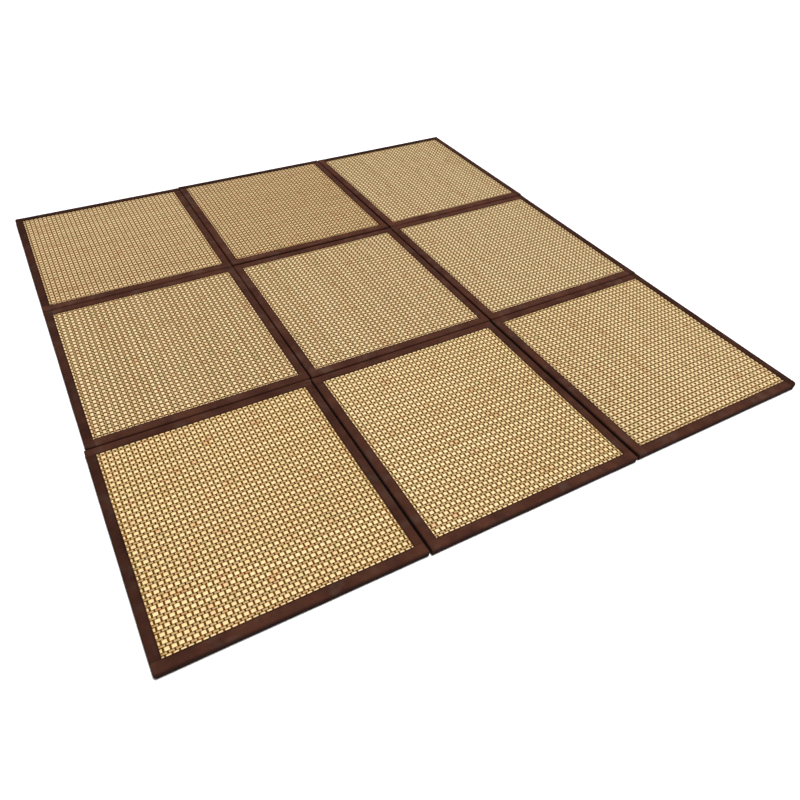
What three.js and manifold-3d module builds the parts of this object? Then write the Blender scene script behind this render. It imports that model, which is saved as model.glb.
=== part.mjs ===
// A large square floor mat of woven rattan. Nine square panels lie edge to edge, three by three.
// Each panel is a soft pad with a sheet of plain-woven rattan laid on it, and four strips of dark
// brown cloth bind its edges: each strip is stitched down on top, turns over the rounded edge and
// is turned under again below. The two short strips are sewn on first and end in a butt against
// the two long ones, which run the full width and close round the corners.
//
// Millimetres, +Z up. The underside lies on z = 0 and the origin is the middle of the mat.

import * as THREE from 'three';
import { mergeVertices } from 'three/addons/utils/BufferGeometryUtils.js';
import Module from 'manifold-3d';

const wasm = await Module();
wasm.setup();

// Driving dimensions

const pitch = 600; // from the middle of one panel to the next, before each is nudged
const panelSide = 597; // a panel over its binding
const panelHeight = 18; // from the floor to the top of the binding
const gap = 0.3; // clearance between pieces that lie on each other

const binding = {
	lap: 25, // how far it shows on top, in from the panel's edge
	underLap: 22, // how far it is turned under
	cloth: 1, // thickness
	shoulder: 5, // radius of the upper edge
	heel: 2, // radius of the lower edge
};

const rattan = {
	thickness: 2.2, // of the woven sheet where the binding holds it down
	proud: 0.5, // how much higher the weave stands where it shows
	margin: 8, // from the panel's edge to the sheet's cut edge
};

const innerCorner = 3; // radius in plan of a corner that lies against other panels
const arcSteps = 3; // flat facets in each quarter turn

// Where each panel came to lie when it was laid down: how far its middle is off the regular
// grid, how far it is turned and which way its wefts run. The four panels that have a corner of
// the whole mat also give that corner's radius, because it is rounder than the others.

const panels = [
	{ name: 'back_left', column: - 1, row: 1, right: 2.4, back: - 3.2, turn: - 0.20, wefts: 'across', outerCorner: 6 },
	{ name: 'back_middle', column: 0, row: 1, right: 0.8, back: 1.2, turn: - 0.05, wefts: 'across' },
	{ name: 'back_right', column: 1, row: 1, right: 1.4, back: 0.6, turn: 0.50, wefts: 'lengthwise', outerCorner: 7 },
	{ name: 'middle_left', column: - 1, row: 0, right: 0.8, back: - 1.2, turn: - 0.15, wefts: 'lengthwise' },
	{ name: 'centre', column: 0, row: 0, right: - 0.4, back: - 2.2, turn: 0.05, wefts: 'lengthwise' },
	{ name: 'middle_right', column: 1, row: 0, right: 0.8, back: 1.6, turn: 0.25, wefts: 'lengthwise' },
	{ name: 'front_left', column: - 1, row: - 1, right: - 4.4, back: 0.4, turn: - 0.05, wefts: 'across', outerCorner: 7 },
	{ name: 'front_middle', column: 0, row: - 1, right: - 3.2, back: - 0.8, turn: 0.20, wefts: 'across' },
	{ name: 'front_right', column: 1, row: - 1, right: 1.4, back: 3.6, turn: 0.30, wefts: 'lengthwise', outerCorner: 12 },
];

// Each panel is built with its wefts along X, and turned a quarter where they run lengthwise.
// A strip of binding is named for the side it then faces.

const quarterTurns = { across: 0, lengthwise: 1 };
const sides = [ 'right', 'back', 'left', 'front' ];

// The corners as columns and rows from the middle, in the same order from the right back one.

const cornerPlaces = [ [ 1, 1 ], [ - 1, 1 ], [ - 1, - 1 ], [ 1, - 1 ] ];

// Materials: three finishes in the colours of brown cloth and split rattan

function bindingCloth() {

	return new THREE.MeshStandardMaterial( { color: 0x4d2e26, roughness: 0.75, metalness: 0 } );

}

function wovenRattan() {

	return new THREE.MeshStandardMaterial( { color: 0xd9b684, roughness: 0.6, metalness: 0 } );

}

function padCloth() {

	return new THREE.MeshStandardMaterial( { color: 0x3b2620, roughness: 0.9, metalness: 0 } );

}

// Section helpers. A section point has an inset, in from the panel's edge, and a height z.

function quarterArc( centre, radius, fromDegrees, toDegrees ) {

	const points = [];

	for ( let step = 0; step <= arcSteps; step ++ ) {

		const angle = THREE.MathUtils.degToRad( THREE.MathUtils.lerp( fromDegrees, toDegrees, step / arcSteps ) );
		points.push( { inset: centre.inset - radius * Math.cos( angle ), z: centre.z + radius * Math.sin( angle ) } );

	}

	return points;

}

// One closed line round the panel at an inset: straight sides, and corners that keep their
// centre, so that they grow sharper inwards.

function roundedSquare( inset, corners ) {

	const points = [];

	cornerPlaces.forEach( ( [ signX, signY ], quarter ) => {

		const radius = Math.max( corners[ quarter ] - inset, 0 );
		const centre = panelSide / 2 - inset - radius;

		for ( let step = 0; step <= arcSteps; step ++ ) {

			const angle = ( quarter + step / arcSteps ) * Math.PI / 2;
			points.push( {
				x: signX * centre + radius * Math.cos( angle ),
				y: signY * centre + radius * Math.sin( angle ),
			} );

		}

	} );

	return points;

}

// A solid whose section is carried round the panel. A ring's section closes on itself; any
// other is a stack of outlines from the bottom up, closed by a flat cap at each end.

function roundPanel( section, corners, isRing ) {

	const loops = section.map( ( point ) => roundedSquare( point.inset, corners ) );
	const around = loops[ 0 ].length;
	const positions = [];

	const vertex = ( level, place ) => {

		const spot = loops[ level % section.length ][ place % around ];
		positions.push( spot.x, spot.y, section[ level % section.length ].z );

	};

	const levels = isRing ? section.length : section.length - 1;

	for ( let level = 0; level < levels; level ++ ) {

		for ( let place = 0; place < around; place ++ ) {

			vertex( level, place );
			vertex( level, place + 1 );
			vertex( level + 1, place + 1 );

			vertex( level, place );
			vertex( level + 1, place + 1 );
			vertex( level + 1, place );

		}

	}

	if ( ! isRing ) {

		for ( let place = 1; place < around - 1; place ++ ) {

			vertex( 0, 0 );
			vertex( 0, place + 1 );
			vertex( 0, place );

			vertex( levels, 0 );
			vertex( levels, place );
			vertex( levels, place + 1 );

		}

	}

	const geometry = new THREE.BufferGeometry();
	geometry.setAttribute( 'position', new THREE.Float32BufferAttribute( positions, 3 ) );

	return withoutSlivers( mergeVertices( geometry, 1e-4 ) );

}

// Where a corner has no radius its arc shrinks to a point, and its triangles go.

function withoutSlivers( geometry ) {

	const index = geometry.index.array;
	const kept = [];

	for ( let i = 0; i < index.length; i += 3 ) {

		const [ a, b, c ] = [ index[ i ], index[ i + 1 ], index[ i + 2 ] ];
		if ( a !== b && b !== c && c !== a ) kept.push( a, b, c );

	}

	geometry.setIndex( kept );

	return geometry;

}

// Booleans

function toManifold( geometry ) {

	const bare = geometry.clone();
	bare.deleteAttribute( 'normal' );
	bare.deleteAttribute( 'uv' );
	const merged = mergeVertices( bare );

	return new wasm.Manifold( new wasm.Mesh( {
		numProp: 3,
		vertProperties: new Float32Array( merged.attributes.position.array ),
		triVerts: new Uint32Array( merged.index.array ),
	} ) );

}

function toGeometry( solid ) {

	const mesh = solid.getMesh();
	const geometry = new THREE.BufferGeometry();
	geometry.setAttribute( 'position', new THREE.BufferAttribute( new Float32Array( mesh.vertProperties ), 3 ) );
	geometry.setIndex( new THREE.BufferAttribute( new Uint32Array( mesh.triVerts ), 1 ) );

	return geometry;

}

// A box over all the panel's height, from its low to its high x and y.

function cutter( lowX, highX, lowY, highY ) {

	const box = new THREE.BoxGeometry( highX - lowX, highY - lowY, 3 * panelHeight );
	box.translate( ( lowX + highX ) / 2, ( lowY + highY ) / 2, panelHeight / 2 );

	return toManifold( box );

}

// The binding: one ring of cloth round the panel's edge, cut into its four strips

function bindingSection() {

	const { lap, underLap, cloth, shoulder, heel } = binding;
	const top = panelHeight;
	const shoulderCentre = { inset: shoulder, z: top - shoulder };
	const heelCentre = { inset: heel, z: heel };
	const outside = [
		{ inset: underLap, z: 0 },
		...quarterArc( heelCentre, heel, - 90, 0 ),
		...quarterArc( shoulderCentre, shoulder, 0, 90 ),
		{ inset: lap, z: top },
	];
	const inside = [
		{ inset: lap, z: top - cloth },
		...quarterArc( shoulderCentre, shoulder - cloth, 90, 0 ),
		{ inset: cloth, z: heel },
		{ inset: heel, z: cloth },
		{ inset: underLap, z: cloth },
	];

	return [ ...outside, ...inside ];

}

function bindingStrips( corners, quarters ) {

	const ring = toManifold( roundPanel( bindingSection(), corners, true ) );
	const far = panelSide;
	const seam = panelSide / 2 - binding.lap;
	const butt = seam - gap;
	const regions = {
		right: cutter( 0, far, - butt, butt ),
		back: cutter( - far, far, seam, far ),
		left: cutter( - far, 0, - butt, butt ),
		front: cutter( - far, far, - far, - seam ),
	};

	return sides.map( ( side, index ) => {

		const faced = sides[ ( index + quarters ) % sides.length ];
		const geometry = toGeometry( ring.intersect( regions[ side ] ) );

		return { name: `binding_${ faced }`, geometry, material: bindingCloth() };

	} );

}

// The woven rattan: a thin sheet that the binding clamps at its rim, with its field standing
// a little higher between the binding's edges

function wovenSheet() {

	const rimTop = panelHeight - binding.cloth - gap;
	const bottom = rimTop - rattan.thickness;
	const rimHalf = panelSide / 2 - rattan.margin;
	const fieldHalf = panelSide / 2 - binding.lap - gap;
	const rim = new THREE.BoxGeometry( 2 * rimHalf, 2 * rimHalf, rattan.thickness );
	rim.translate( 0, 0, bottom + rattan.thickness / 2 );
	const fieldHeight = rattan.thickness + rattan.proud;
	const field = new THREE.BoxGeometry( 2 * fieldHalf, 2 * fieldHalf, fieldHeight );
	field.translate( 0, 0, bottom + fieldHeight / 2 );
	const sheet = toManifold( rim ).add( toManifold( field ) );

	return { name: 'woven_face', geometry: toGeometry( sheet ), material: wovenRattan() };

}

// The pad: one filled solid that carries the weave, rounded under the binding at its edges,
// and let in below so that the turned-under cloth lies flush with its underside

function pad( corners ) {

	const { underLap, cloth, shoulder, heel } = binding;
	const side = cloth + gap;
	const top = panelHeight - cloth - gap - rattan.thickness - gap;
	const shoulderCentre = { inset: shoulder, z: top - shoulder + side };
	const section = [
		{ inset: underLap + gap, z: 0 },
		{ inset: underLap + gap, z: cloth + gap },
		{ inset: heel + gap, z: cloth + gap },
		{ inset: side, z: heel + gap },
		...quarterArc( shoulderCentre, shoulder - side, 0, 90 ),
	];

	return { name: 'pad', geometry: roundPanel( section, corners, false ), material: padCloth() };

}

// One panel, built at the origin and then put where it lies

function buildPanel( { name, column, row, right, back, turn, wefts, outerCorner } ) {

	const group = new THREE.Group();
	const quarters = quarterTurns[ wefts ];
	const corners = cornerPlaces.map( ( _, index ) => {

		const [ across, along ] = cornerPlaces[ ( index + quarters ) % cornerPlaces.length ];
		const isOuter = across === column && along === row;

		return isOuter ? outerCorner : innerCorner;

	} );

	for ( const piece of [ pad( corners ), wovenSheet(), ...bindingStrips( corners, quarters ) ] ) {

		const mesh = new THREE.Mesh( piece.geometry, piece.material );
		mesh.name = `${ name }_${ piece.name }`;
		group.add( mesh );

	}

	group.rotation.z = THREE.MathUtils.degToRad( turn ) + quarters * Math.PI / 2;
	group.position.set( column * pitch + right, row * pitch + back, 0 );

	return group;

}

// The whole mat, with its middle moved to the origin

const mat = new THREE.Group();
panels.forEach( ( panel ) => mat.add( buildPanel( panel ) ) );

const middle = new THREE.Box3().setFromObject( mat ).getCenter( new THREE.Vector3() );
mat.position.set( - middle.x, - middle.y, 0 );

const group = new THREE.Group();
group.add( mat );

export default group;
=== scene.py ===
"""A large floor mat of nine woven rattan panels, each bound at its edges in dark brown cloth.

Each panel is a felt pad that carries a plain weave of split rattan, cream and tan by turns, over
thin dark cords. Four strips of cotton bind its edges: two long ones along the wefts, which close
round the corners, and two short ones that end in a butt against them. Every panel is built in its
own frame, with its wefts along X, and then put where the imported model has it.
"""

import logging
import math
from dataclasses import dataclass, field
from enum import Enum

import bpy
import numpy as np
from mathutils import Matrix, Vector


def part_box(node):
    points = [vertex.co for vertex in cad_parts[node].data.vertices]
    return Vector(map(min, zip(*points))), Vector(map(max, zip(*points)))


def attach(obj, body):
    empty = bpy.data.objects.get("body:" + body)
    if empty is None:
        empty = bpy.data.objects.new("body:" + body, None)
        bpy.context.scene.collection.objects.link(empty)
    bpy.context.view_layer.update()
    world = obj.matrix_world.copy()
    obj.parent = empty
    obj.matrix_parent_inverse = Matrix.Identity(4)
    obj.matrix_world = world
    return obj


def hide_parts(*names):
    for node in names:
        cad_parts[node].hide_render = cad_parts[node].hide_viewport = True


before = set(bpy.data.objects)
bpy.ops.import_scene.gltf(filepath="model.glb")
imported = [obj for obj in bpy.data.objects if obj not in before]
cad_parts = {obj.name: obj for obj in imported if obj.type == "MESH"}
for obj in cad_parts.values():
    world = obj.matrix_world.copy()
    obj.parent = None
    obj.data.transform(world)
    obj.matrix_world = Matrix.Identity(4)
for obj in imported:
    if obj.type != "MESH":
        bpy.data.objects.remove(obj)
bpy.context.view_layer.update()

LOG = logging.getLogger("rattan_mat")
MM = 0.001
BODY = "root"
SEED = 4711
WAVE_TURN = 2 * math.pi / 10  # the scale at which a Wave texture's slanting bands repeat once a metre
STRANDS_APART = 122.0  # keeps the patterns of two strands away from each other


# Panels and their places


class Wefts(Enum):
    """Which way a panel's wefts run, as quarter turns of the panel."""

    ACROSS = 0
    LENGTHWISE = 1


class Side(Enum):
    """The sides of a panel, in the order of a quarter turn."""

    RIGHT = 0
    BACK = 1
    LEFT = 2
    FRONT = 3

    def turned(self, quarters: int) -> "Side":
        """The side that this one becomes after so many quarter turns."""
        return Side((self.value + quarters) % len(Side))


class Corner(Enum):
    """The corners of a panel, in the order of a quarter turn."""

    RIGHT_BACK = 0
    LEFT_BACK = 1
    LEFT_FRONT = 2
    RIGHT_FRONT = 3


@dataclass(frozen=True)
class PanelPlace:
    """One panel's name, the way its wefts run, its cane and its corner on the outside of the mat."""

    name: str
    wefts: Wefts
    ripeness: float  # of the cane: 0 is pale, and 1 is darker and more golden
    outer: Corner | None = None
    outer_radius: float = 0.0
    inner_radius: float = 1.8 * MM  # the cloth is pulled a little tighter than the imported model's

    def radius(self, own: Corner) -> float:
        """The radius in plan of a corner of the panel's own frame."""
        faced = Corner((own.value + self.wefts.value) % len(Corner))
        return self.outer_radius if faced is self.outer else self.inner_radius


PANELS = (
    PanelPlace("back_left", Wefts.ACROSS, 0.8, Corner.LEFT_BACK, 6 * MM),
    PanelPlace("back_middle", Wefts.ACROSS, 1.0),
    PanelPlace("back_right", Wefts.LENGTHWISE, 0.15, Corner.RIGHT_BACK, 7 * MM),
    PanelPlace("middle_left", Wefts.LENGTHWISE, 0.3),
    PanelPlace("centre", Wefts.LENGTHWISE, 0.25),
    PanelPlace("middle_right", Wefts.LENGTHWISE, 0.1),
    PanelPlace("front_left", Wefts.ACROSS, 0.3, Corner.LEFT_FRONT, 7 * MM),
    PanelPlace("front_middle", Wefts.ACROSS, 0.0),
    PanelPlace("front_right", Wefts.LENGTHWISE, 0.1, Corner.RIGHT_FRONT, 12 * MM),
)


def node_points(node: str) -> np.ndarray:
    """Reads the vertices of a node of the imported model.

    Args:
        node: The node's name.

    Returns:
        The vertices, one row each.
    """
    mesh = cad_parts[node].data
    points = np.empty(len(mesh.vertices) * 3)
    mesh.vertices.foreach_get("co", points)
    return points.reshape(-1, 3)


@dataclass(frozen=True)
class PanelFrame:
    """Where a panel lies: the middle of its woven sheet and its turn, in radians."""

    middle: np.ndarray
    turn: float
    sheet_half: float

    @classmethod
    def of(cls, place: PanelPlace) -> "PanelFrame":
        """Reads a panel's frame from the four corners of its woven sheet.

        Args:
            place: The panel.

        Returns:
            Its frame, turned a quarter more where its wefts run lengthwise.
        """
        plan = node_points(f"{place.name}_woven_face")[:, :2]
        corners = [plan[np.argmax(plan @ way)] for way in ((-1, -1), (1, -1), (1, 1), (-1, 1))]
        front = corners[1] - corners[0]
        turn = math.atan2(front[1], front[0]) + place.wefts.value * math.pi / 2
        return cls(np.mean(corners, axis=0), turn, float(np.linalg.norm(front)) / 2)

    def placed(self, points: np.ndarray) -> np.ndarray:
        """Turns and moves points of the panel's own frame to where the panel lies.

        Args:
            points: The points, with x, y and z last.

        Returns:
            The points in the mat's frame.
        """
        cosine, sine = math.cos(self.turn), math.sin(self.turn)
        x, y, z = np.moveaxis(points, -1, 0)
        across = x * cosine - y * sine + self.middle[0]
        back = x * sine + y * cosine + self.middle[1]
        return np.stack([across, back, z], axis=-1)


# Meshes


@dataclass
class Surface:
    """Points, faces and named point values of a mesh, as arrays."""

    points: np.ndarray
    corners: np.ndarray
    sizes: np.ndarray
    finishes: np.ndarray
    values: dict[str, np.ndarray] = field(default_factory=dict)

    @classmethod
    def lofted(cls, rings: np.ndarray, finish: int = 0, **values: np.ndarray) -> "Surface":
        """Skins rows of rings into closed tubes: a quad between neighbours, and a flat cap at each end.

        Args:
            rings: Points of shape (tubes, rings, points round a ring, 3).
            finish: Which of the piece's finishes the tubes have.
            **values: Point values of the same shape, with 1 or 3 numbers each.

        Returns:
            All the tubes as one surface.
        """
        tubes, count, around, _ = rings.shape
        index = np.arange(tubes * count * around).reshape(tubes, count, around)
        beside = np.roll(index, -1, axis=2)
        quads = np.stack([index[:, :-1], beside[:, :-1], beside[:, 1:], index[:, 1:]], axis=-1)
        caps = np.concatenate([index[:, 0, ::-1], index[:, -1]])
        corners = np.concatenate([quads.ravel(), caps.ravel()])
        sizes = np.concatenate([np.full(quads.size // 4, 4), np.full(len(caps), around)])
        flat = {name: value.reshape(tubes * count * around, -1) for name, value in values.items()}
        return cls(rings.reshape(-1, 3), corners, sizes, np.full(len(sizes), finish), flat)

    @classmethod
    def joined(cls, surfaces: list["Surface"]) -> "Surface":
        """Several surfaces as one.

        Args:
            surfaces: The surfaces, with the same point values.

        Returns:
            All of them as one surface.
        """
        starts = np.cumsum([0] + [len(surface.points) for surface in surfaces[:-1]])
        return cls(
            np.concatenate([surface.points for surface in surfaces]),
            np.concatenate([surface.corners + start for surface, start in zip(surfaces, starts)]),
            np.concatenate([surface.sizes for surface in surfaces]),
            np.concatenate([surface.finishes for surface in surfaces]),
            {
                name: np.concatenate([surface.values[name] for surface in surfaces])
                for name in surfaces[0].values
            },
        )

    def faced_outwards(self) -> "Surface":
        """Turns the faces outwards.

        The volume inside is the sum, over a fan of triangles in each face, of the triangle's
        cross product with its first corner. Where it is negative, each face is turned round.

        Returns:
            The surface with a positive volume.
        """
        starts = np.cumsum(self.sizes) - self.sizes
        first = np.repeat(self.corners[starts], self.sizes)
        following = np.arange(len(self.corners)) + 1
        ends = starts + self.sizes - 1
        following[ends] = starts
        a, b, c = (self.points[i] for i in (first, self.corners, self.corners[following]))
        volume = np.einsum("ij,ij->", a, np.cross(b, c))
        corners = self.corners
        if volume < 0:
            mirrored = np.repeat(2 * starts + self.sizes - 1, self.sizes) - np.arange(len(corners))
            corners = corners[mirrored]
        return Surface(self.points, corners, self.sizes, self.finishes, self.values)

    def piece(self, name: str, materials: list[bpy.types.Material]) -> bpy.types.Object:
        """Makes a smooth mesh object of the surface.

        Args:
            name: The piece's name.
            materials: Its finishes.

        Returns:
            The object, at the origin, with its place in its mesh.
        """
        outward = self.faced_outwards()
        mesh = bpy.data.meshes.new(name)
        mesh.vertices.add(len(outward.points))
        mesh.vertices.foreach_set("co", outward.points.ravel())
        mesh.loops.add(len(outward.corners))
        mesh.loops.foreach_set("vertex_index", outward.corners.astype(np.int32))
        mesh.polygons.add(len(outward.sizes))
        starts = np.cumsum(outward.sizes) - outward.sizes
        mesh.polygons.foreach_set("loop_start", starts.astype(np.int32))
        mesh.polygons.foreach_set("material_index", outward.finishes.astype(np.int32))
        mesh.polygons.foreach_set("use_smooth", np.ones(len(outward.sizes), dtype=bool))
        mesh.update(calc_edges=True)
        for value_name, value in outward.values.items():
            is_vector = value.shape[1] == 3
            kind, key = ("FLOAT_VECTOR", "vector") if is_vector else ("FLOAT", "value")
            attribute = mesh.attributes.new(value_name, kind, "POINT")
            attribute.data.foreach_set(key, value.astype(np.float32).ravel())
        for material in materials:
            mesh.materials.append(material)
        made = bpy.data.objects.new(name, mesh)
        bpy.context.scene.collection.objects.link(made)
        return made


def eased(t: np.ndarray) -> np.ndarray:
    """The smooth step 3t² - 2t³, with t held between 0 and 1."""
    held = np.clip(t, 0, 1)
    return held * held * (3 - 2 * held)


@dataclass(frozen=True)
class Waves:
    """A slow unevenness between -1 and 1: three sines of falling length, each with its own phase."""

    phases: np.ndarray
    length: float

    @classmethod
    def drawn(cls, dice: np.random.Generator, length: float, *shape: int) -> "Waves":
        """Draws the phases for an array of waves of that shape."""
        return cls(dice.uniform(0, 2 * math.pi, (3, *shape)), length)

    def at(self, distance: np.ndarray) -> np.ndarray:
        """The waves' height, as the sum of the three sines.

        Args:
            distance: The distance along them, in metres.

        Returns:
            The height at each distance, between -1 and 1.
        """
        shares = ((0.5, 1.0), (0.3, 2.3), (0.2, 4.1))
        turns = 2 * math.pi * distance / self.length
        return sum(
            share * np.sin(rate * turns + phase)
            for (share, rate), phase in zip(shares, self.phases)
        )


# Materials


def linear(code: str) -> tuple[float, float, float, float]:
    """Turns an sRGB hex colour such as "d9b684" into linear red, green, blue and a full alpha."""
    channels = [int(code[i : i + 2], 16) / 255 for i in (0, 2, 4)]
    return (*(c / 12.92 if c <= 0.04045 else ((c + 0.055) / 1.055) ** 2.4 for c in channels), 1.0)


def add_node(
    tree: bpy.types.NodeTree,
    kind: str,
    inputs: dict | None = None,
    output: int | str = 0,
    **settings: object,
) -> bpy.types.NodeSocket | None:
    """Adds one node with its settings and its inputs.

    Args:
        tree: The node tree.
        kind: The node's class name, without the word ShaderNode.
        inputs: A number or colour, or an output to link from, for each input's name or number.
        output: The name or number of the output that is wanted.
        **settings: The node's own properties.

    Returns:
        That output, or nothing from a node that has none.
    """
    node = tree.nodes.new(f"ShaderNode{kind}")
    for name, value in settings.items():
        setattr(node, name, value)
    for key, value in (inputs or {}).items():
        if isinstance(value, bpy.types.NodeSocket):
            tree.links.new(value, node.inputs[key])
        else:
            node.inputs[key].default_value = value
    return node.outputs[output] if node.outputs else None


def new_material(name: str) -> tuple[bpy.types.Material, bpy.types.NodeTree]:
    """A material with an empty node tree.

    Args:
        name: The material's name.

    Returns:
        The material and its tree.
    """
    material = bpy.data.materials.new(name)
    material.use_nodes = True
    material.node_tree.nodes.clear()
    return material, material.node_tree


def noise_along(
    tree: bpy.types.NodeTree,
    strand: bpy.types.NodeSocket,
    length: float,
    width: float = math.inf,
    detail: float = 1.0,
) -> bpy.types.NodeSocket:
    """A noise that runs along the strands, with a pattern of its own on each.

    Args:
        tree: The node tree.
        strand: The strands' point value: distance along, own number and distance across.
        length: How long a patch of the noise is.
        width: How wide it is; without a width it spans the strand.
        detail: How many finer layers it has.

    Returns:
        The noise, from 0 to 1.
    """
    scale = (1 / length, STRANDS_APART, 1 / width)
    place = add_node(tree, "VectorMath", {0: strand, 1: scale}, operation="MULTIPLY")
    return add_node(tree, "TexNoise", {"Vector": place, "Scale": 1.0, "Detail": detail})


@dataclass(frozen=True)
class Runs:
    """Short runs of another colour along some of the strands, where a noise is high or low."""

    colour: str
    start: float  # the noise at which they start to show
    full: float  # the noise from which they show most
    most: float  # how much of the strand's colour they take away there

    def over(
        self,
        tree: bpy.types.NodeTree,
        colour: bpy.types.NodeSocket,
        noise: bpy.types.NodeSocket,
    ) -> bpy.types.NodeSocket:
        """Lays the runs over a colour.

        Args:
            tree: The node tree.
            colour: The strands' colour.
            noise: The noise that the runs follow.

        Returns:
            The colour with the runs over it.
        """
        share = add_node(tree, "MapRange", {0: noise, 1: self.start, 2: self.full, 4: self.most})
        colours = {0: share, 6: colour, 7: linear(self.colour)}
        return add_node(tree, "Mix", colours, 2, data_type="RGBA")


@dataclass(frozen=True)
class SplitRattan:
    """Split rattan peel, scraped and varnished: long pale fibres under a thin satin skin.

    The wefts are cut from different canes, so that each has its own tone, and some have short
    reddish or greenish runs. Where the sun comes, the cane has turned golden. A pair of numbers
    is for the darkest cane and for the palest one.
    """

    cream: str = "d6be90"
    tan: str = "997647"
    reddish: Runs = Runs("a8683f", 0.6, 0.72, 0.4)
    greenish: Runs = Runs("8f8d55", 0.4, 0.28, 0.35)
    lightness: tuple[float, float] = (0.8, 1.08)
    strength: tuple[float, float] = (1.16, 0.97)
    hue: tuple[float, float] = (0.492, 0.503)  # 0.5 leaves it as it is, and less is redder
    streaks: tuple[float, float] = (0.88, 1.1)  # lightness of the darkest and palest fibres
    sun_gold: float = 0.1  # how much stronger the sun has made the colour at most
    sun_shine: float = 0.035  # how much lighter
    ior: float = 1.5
    roughness: float = 0.5
    fibre_width: float = 0.5 * MM  # drawn about twice as coarse as the real fibres, to show
    fibre_length: float = 14 * MM
    fibre_relief: float = 0.06 * MM
    run_length: float = 45 * MM

    def made(self) -> bpy.types.Material:
        """Builds the material. It reads the point values strand, tone and sunned.

        strand holds the distance along the weft, its own paleness and the distance across it;
        tone is 0 on a cream weft and 1 on a tan one, less where it is covered; sunned is how far
        the sun has turned the cane golden, from 0 to 1.

        Returns:
            The material.
        """
        material, tree = new_material("varnished_split_rattan")
        strand = add_node(tree, "Attribute", output="Vector", attribute_name="strand")
        tone, sunned = (
            add_node(tree, "Attribute", output="Fac", attribute_name=name)
            for name in ("tone", "sunned")
        )
        paleness = add_node(tree, "SeparateXYZ", {0: strand}, 1)
        fibres = noise_along(tree, strand, self.fibre_length, self.fibre_width, 3.0)
        noise = noise_along(tree, strand, self.run_length)
        canes = {0: tone, 6: linear(self.cream), 7: linear(self.tan)}
        wood = add_node(tree, "Mix", canes, 2, data_type="RGBA")
        wood = self.greenish.over(tree, self.reddish.over(tree, wood, noise), noise)
        light, golden, hue = (
            add_node(tree, "MapRange", {0: paleness, 3: darkest, 4: palest})
            for darkest, palest in (self.lightness, self.strength, self.hue)
        )
        light, golden = (
            add_node(tree, "Math", {0: sunned, 1: most, 2: before}, operation="MULTIPLY_ADD")
            for most, before in ((self.sun_shine, light), (self.sun_gold, golden))
        )
        dark, pale = self.streaks
        streak = add_node(tree, "MapRange", {0: fibres, 1: 0.3, 2: 0.7, 3: dark, 4: pale})
        value = add_node(tree, "Math", {0: light, 1: streak}, operation="MULTIPLY")
        changes = {"Hue": hue, "Saturation": golden, "Value": value, "Color": wood}
        colour = add_node(tree, "HueSaturation", changes)
        relief = {"Strength": 0.6, "Distance": self.fibre_relief, "Height": fibres}
        bump = add_node(tree, "Bump", relief)
        shader = add_node(
            tree,
            "BsdfPrincipled",
            {"Base Color": colour, "Roughness": self.roughness, "IOR": self.ior, "Normal": bump},
        )
        add_node(tree, "OutputMaterial", {0: shader})
        return material


@dataclass(frozen=True)
class TwistedBast:
    """Dark dyed cord, twisted of bast: matt, with the twist showing as slanting stripes.

    Over a tan weft it is darker, as painted shade in its short dips, and it is paler over a cream
    weft; some has short reddish or greenish runs.
    """

    # painted shade: the cord over a tan weft takes the first, darker colour, for the shade in its dips
    dye: str = "3e1d00"
    over_cream: str = "734707"
    reddish: Runs = Runs("7a3416", 0.56, 0.7, 0.7)
    greenish: Runs = Runs("4f4a0c", 0.44, 0.3, 0.5)
    own_share: float = 0.5  # how much the cord's own lightness counts, where its twist counts 1
    lightness: tuple[float, float] = (0.75, 1.25)
    ior: float = 1.5
    roughness: float = 0.9
    gloss: float = 0.03  # the fibres shade one another, so that little is left of their gloss
    twist_pitch: float = 2.4 * MM
    twist_relief: float = 0.2 * MM
    run_length: float = 30 * MM

    def made(self) -> bpy.types.Material:
        """Builds the material. It reads the point values strand and tone.

        strand is as on the wefts; tone is 1 over a tan weft and 0 over a cream one.

        Returns:
            The material.
        """
        material, tree = new_material("twisted_bast_cord")
        strand = add_node(tree, "Attribute", output="Vector", attribute_name="strand")
        tone = add_node(tree, "Attribute", output="Fac", attribute_name="tone")
        own = add_node(tree, "SeparateXYZ", {0: strand}, 1)
        twist = add_node(
            tree,
            "TexWave",
            {"Vector": strand, "Scale": WAVE_TURN / self.twist_pitch, "Distortion": 0.5},
            1,
            wave_type="BANDS",
            bands_direction="DIAGONAL",
        )
        noise = noise_along(tree, strand, self.run_length)
        # painted shade: darker over the tan wefts, paler over the cream ones
        dyes = {0: tone, 6: linear(self.over_cream), 7: linear(self.dye)}
        colour = add_node(tree, "Mix", dyes, 2, data_type="RGBA")
        colour = self.greenish.over(tree, self.reddish.over(tree, colour, noise), noise)
        sum_of_both = {0: own, 1: self.own_share, 2: twist}
        lit = add_node(tree, "Math", sum_of_both, operation="MULTIPLY_ADD")
        dark, pale = self.lightness
        value = add_node(tree, "MapRange", {0: lit, 2: 1 + self.own_share, 3: dark, 4: pale})
        colour = add_node(tree, "HueSaturation", {"Value": value, "Color": colour})
        relief = {"Strength": 0.5, "Distance": self.twist_relief, "Height": twist}
        bump = add_node(tree, "Bump", relief)
        shader = add_node(
            tree,
            "BsdfPrincipled",
            {
                "Base Color": colour,
                "Roughness": self.roughness,
                "IOR": self.ior,
                "Specular IOR Level": self.gloss,
                "Normal": bump,
            },
        )
        add_node(tree, "OutputMaterial", {0: shader})
        return material


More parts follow.
